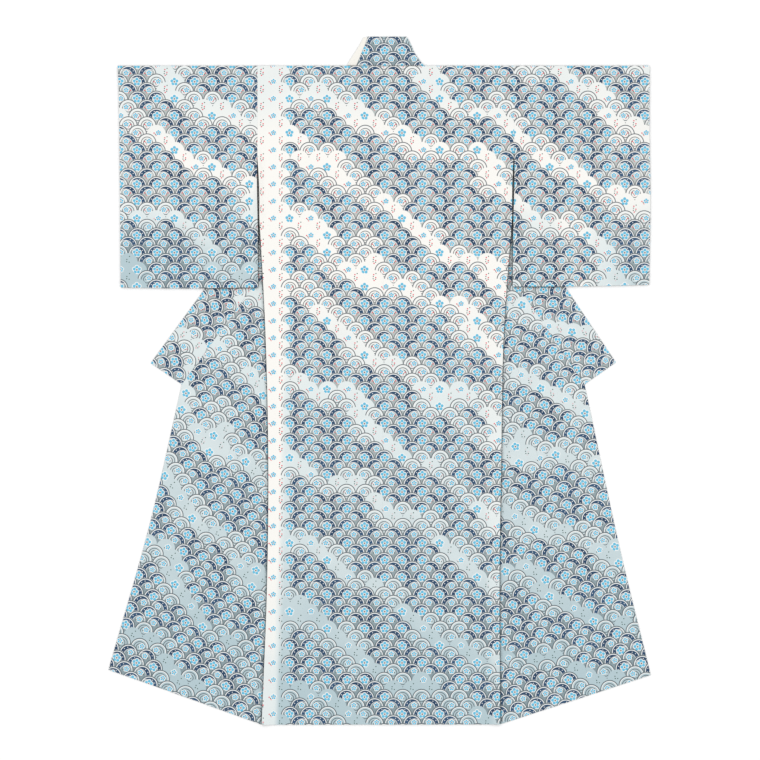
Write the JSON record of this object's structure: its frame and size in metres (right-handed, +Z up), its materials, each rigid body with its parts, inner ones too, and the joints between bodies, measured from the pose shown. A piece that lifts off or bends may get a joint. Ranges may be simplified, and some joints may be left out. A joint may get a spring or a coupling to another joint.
{
  "type": "kimono laid out flat",
  "caption": "Women's kimono laid out flat, back up, with level sleeves, turned-out fronts and overlap panels, and an open collar run.",
  "frame": {"origin": "on the surface the garment lies on, under the middle of its outline's box", "axes": "+Z up from the surface, +Y along the centre back towards the collar, +X towards the sleeve on the viewer's right"},
  "size_m": [1.3006, 1.6502, 0.0042],
  "materials": {
    "body_silk": "satin",
    "front_silk": "satin",
    "sleeve_silk": "satin",
    "collar_silk": "satin",
    "lining_silk": "satin"
  },
  "bodies": {
    "root": {"body_left": "body_silk", "body_right": "body_silk", "overlap_left": "front_silk", "overlap_right": "front_silk", "sleeve_left": "sleeve_silk", "sleeve_right": "sleeve_silk", "collar": "collar_silk", "collar_lining": "lining_silk"}
  },
  "joints": []
}
